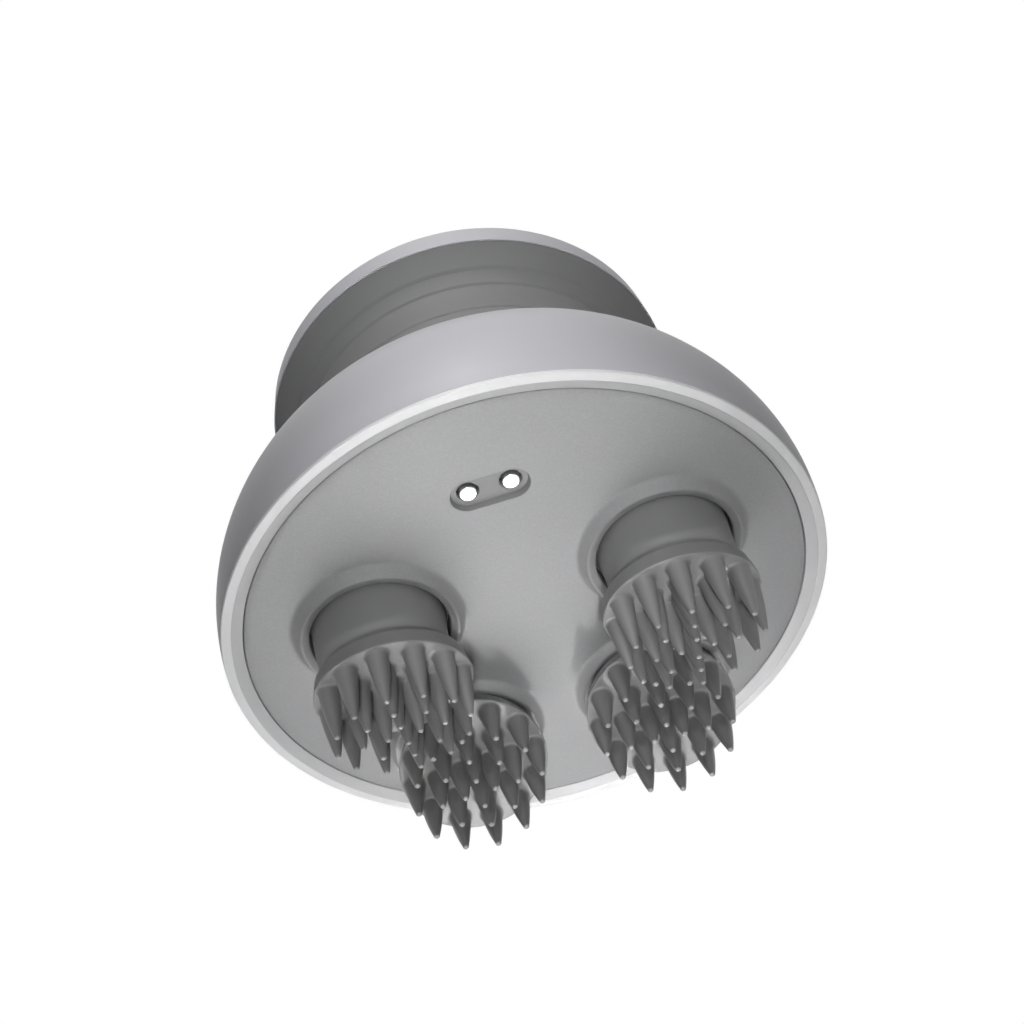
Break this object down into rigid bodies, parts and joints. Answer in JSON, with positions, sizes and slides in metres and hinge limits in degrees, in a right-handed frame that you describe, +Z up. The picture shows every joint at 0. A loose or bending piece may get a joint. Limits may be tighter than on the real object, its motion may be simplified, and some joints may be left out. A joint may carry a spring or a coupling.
{
  "type": "electric scalp massager",
  "caption": "Handheld cordless scalp massager with a domed body, waisted grip, mushroom cap with a power button, and driven silicone claw heads under a round base plate.",
  "frame": {"origin": "on the body's axis at the level of the lowest claw tip, on which it stands", "axes": "+Z up through the cap, +X to the right and -Y to the front, where the charging contacts are"},
  "size_m": [0.1062, 0.1062, 0.0933],
  "materials": {
    "shell_satin": "satin-moulded ABS, lavender silver",
    "rim_white": "satin-moulded ABS, near white",
    "grip_rubber": "soft-touch overmoulded elastomer, dark grey",
    "plate_grey": "fine-textured ABS, mid grey",
    "silicone_grey": "food-grade silicone, grey",
    "seal_rubber": "silicone seal, dark grey",
    "insert_plastic": "moulded nylon, dark grey",
    "gear_plastic": "moulded acetal, ivory",
    "frame_plastic": "glass-filled nylon, slate",
    "tray_plastic": "moulded ABS, light grey",
    "light_pipe": "translucent polycarbonate",
    "contact_gold": "gold-plated brass",
    "contact_steel": "bright nickel-plated contact",
    "steel": "ground or zinc-plated steel",
    "bronze": "sintered bronze",
    "battery_wrap": "printed-free pouch film, blue",
    "board_green": "glass-epoxy laminate, green",
    "chip_black": "moulded epoxy packages, black",
    "wire_red": "insulated lead, red",
    "wire_blue": "insulated lead, blue"
  },
  "bodies": {
    "casing": {"rim_ring": "rim_white", "body_shell": "shell_satin", "grip_shell": "grip_rubber", "cap_shell": "shell_satin", "cap_gasket": "seal_rubber", "light_ring": "light_pipe", "base_plate": "plate_grey", "base_gasket": "seal_rubber", "contact_housing": "insert_plastic", "contact_pins": "contact_steel", "seal_boot_front_right": "seal_rubber", "seal_boot_front_left": "seal_rubber", "seal_boot_rear_right": "seal_rubber", "seal_boot_rear_left": "seal_rubber", "gear_frame_lower": "frame_plastic", "gear_frame_upper": "frame_plastic", "frame_screws": "steel", "grip_screws": "steel", "gearbox_screws": "steel", "gearbox": "steel", "motor": "steel", "motor_terminals": "contact_gold", "battery_tray": "tray_plastic", "battery": "battery_wrap", "main_board": "board_green", "board_screws": "steel", "board_parts": "chip_black", "status_leds": "light_pipe", "tact_switch": "chip_black", "contact_leads": "wire_red", "motor_leads": "wire_blue"},
    "drive": {"drive_shaft": "steel", "sun_gear": "gear_plastic"},
    "crank_front_right": {"crank_gear_front_right": "gear_plastic", "pin_bush_front_right": "bronze"},
    "head_front_right": {"head_carrier_front_right": "insert_plastic", "head_pin_front_right": "steel", "pin_clip_front_right": "steel", "claw_pad_front_right": "silicone_grey"},
    "crank_front_left": {"crank_gear_front_left": "gear_plastic", "pin_bush_front_left": "bronze"},
    "head_front_left": {"head_carrier_front_left": "insert_plastic", "head_pin_front_left": "steel", "pin_clip_front_left": "steel", "claw_pad_front_left": "silicone_grey"},
    "crank_rear_right": {"crank_gear_rear_right": "gear_plastic", "pin_bush_rear_right": "bronze"},
    "head_rear_right": {"head_carrier_rear_right": "insert_plastic", "head_pin_rear_right": "steel", "pin_clip_rear_right": "steel", "claw_pad_rear_right": "silicone_grey"},
    "crank_rear_left": {"crank_gear_rear_left": "gear_plastic", "pin_bush_rear_left": "bronze"},
    "head_rear_left": {"head_carrier_rear_left": "insert_plastic", "head_pin_rear_left": "steel", "pin_clip_rear_left": "steel", "claw_pad_rear_left": "silicone_grey"},
    "button": {"power_button": "shell_satin", "switch_plunger": "gear_plastic"}
  },
  "joints": [
    {"name": "drive_spin", "type": "hinge", "parent": "casing", "child": "drive", "pos_m": [0, 0.0025, 0.03524], "axis": [0, 0, 1], "continuous": true},
    {"name": "crank_spin_front_right", "type": "hinge", "parent": "casing", "child": "crank_front_right", "pos_m": [0.02459, -0.01003, 0.02744], "axis": [0, 0, 1], "continuous": true},
    {"name": "head_nod_front_right", "type": "hinge", "parent": "crank_front_right", "child": "head_front_right", "pos_m": [0.02459, -0.01003, 0.02744], "axis": [0, 0.0872, 0.9962], "continuous": true},
    {"name": "crank_spin_front_left", "type": "hinge", "parent": "casing", "child": "crank_front_left", "pos_m": [-0.02459, -0.01003, 0.02744], "axis": [0, 0, 1], "continuous": true},
    {"name": "head_nod_front_left", "type": "hinge", "parent": "crank_front_left", "child": "head_front_left", "pos_m": [-0.02459, -0.01003, 0.02744], "axis": [0, 0.0872, 0.9962], "continuous": true},
    {"name": "crank_spin_rear_right", "type": "hinge", "parent": "casing", "child": "crank_rear_right", "pos_m": [0.01792, 0.02349, 0.02744], "axis": [0, 0, 1], "continuous": true},
    {"name": "head_nod_rear_right", "type": "hinge", "parent": "crank_rear_right", "child": "head_rear_right", "pos_m": [0.01792, 0.02349, 0.02744], "axis": [0, 0.0872, 0.9962], "continuous": true},
    {"name": "crank_spin_rear_left", "type": "hinge", "parent": "casing", "child": "crank_rear_left", "pos_m": [-0.01792, 0.02349, 0.02744], "axis": [0, 0, 1], "continuous": true},
    {"name": "head_nod_rear_left", "type": "hinge", "parent": "crank_rear_left", "child": "head_rear_left", "pos_m": [-0.01792, 0.02349, 0.02744], "axis": [0, 0.0872, 0.9962], "continuous": true},
    {"name": "button_press", "type": "slide", "parent": "casing", "child": "button", "axis": [0, 0, -1], "range_m": [0, 0.0006], "stiffness_N_per_m": 900, "springref_m": -0.0012}
  ],
  "couplings": [
    {"joint": "crank_spin_front_right", "follows": "drive_spin", "ratio": -1.875},
    {"joint": "head_nod_front_right", "follows": "drive_spin", "ratio": 1.875},
    {"joint": "crank_spin_front_left", "follows": "drive_spin", "ratio": -1.875},
    {"joint": "head_nod_front_left", "follows": "drive_spin", "ratio": 1.875},
    {"joint": "crank_spin_rear_right", "follows": "drive_spin", "ratio": -1.875},
    {"joint": "head_nod_rear_right", "follows": "drive_spin", "ratio": 1.875},
    {"joint": "crank_spin_rear_left", "follows": "drive_spin", "ratio": -1.875},
    {"joint": "head_nod_rear_left", "follows": "drive_spin", "ratio": 1.875}
  ]
}
